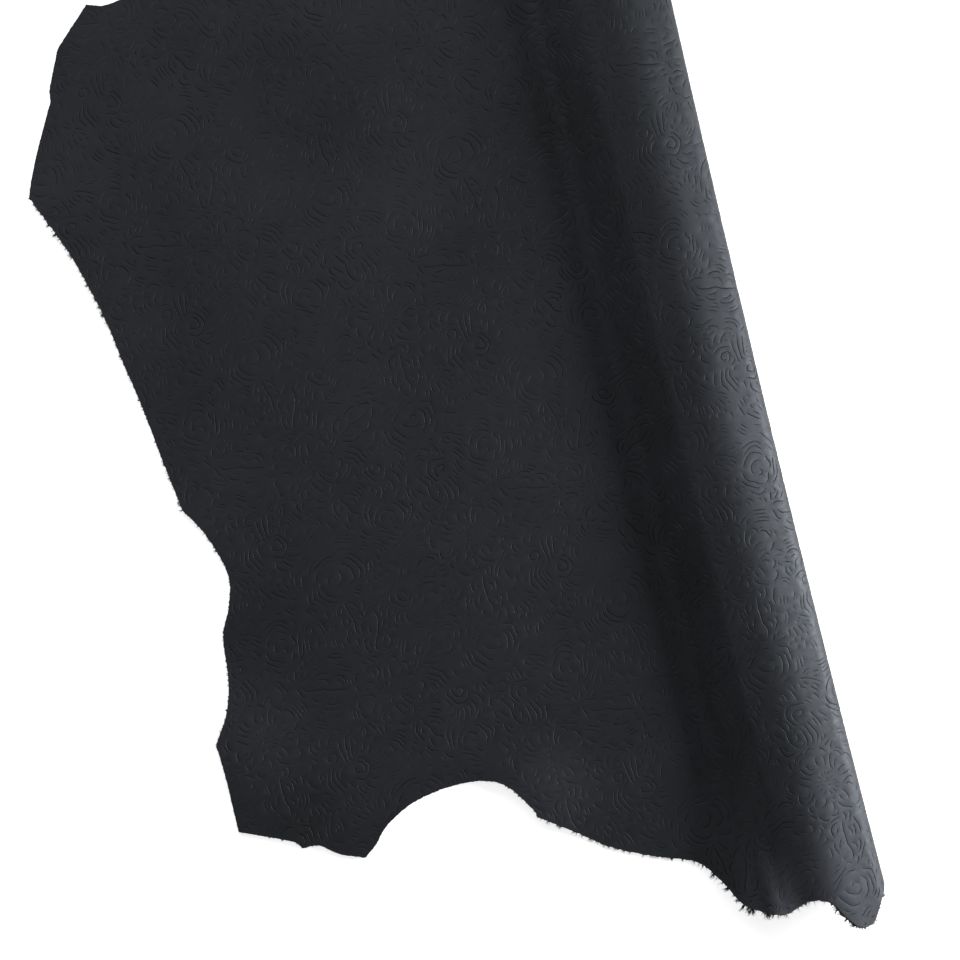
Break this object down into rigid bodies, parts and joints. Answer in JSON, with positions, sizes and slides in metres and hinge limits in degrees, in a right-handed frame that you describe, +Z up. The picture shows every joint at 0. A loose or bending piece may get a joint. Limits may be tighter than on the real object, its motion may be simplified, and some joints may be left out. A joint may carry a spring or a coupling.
{
  "type": "embossed leather belly",
  "caption": "Trimmed piece of black belly leather embossed all over with flowers and leaves, lying flat with its side curled over a rounded ridge and folded under.",
  "frame": {"origin": "on the surface that the leather lies on, under the middle of its bounding box", "axes": "+X across the fold towards its rounded nose, +Y along the fold towards the straight cut end, +Z up"},
  "size_m": [0.419, 0.6728, 0.0311],
  "materials": {
    "black_leather": "near-black embossed grain side with a soft semi-matt sheen, darker flesh side and cut edge"
  },
  "bodies": {
    "root": {"leather_belly": "black_leather"}
  },
  "joints": []
}
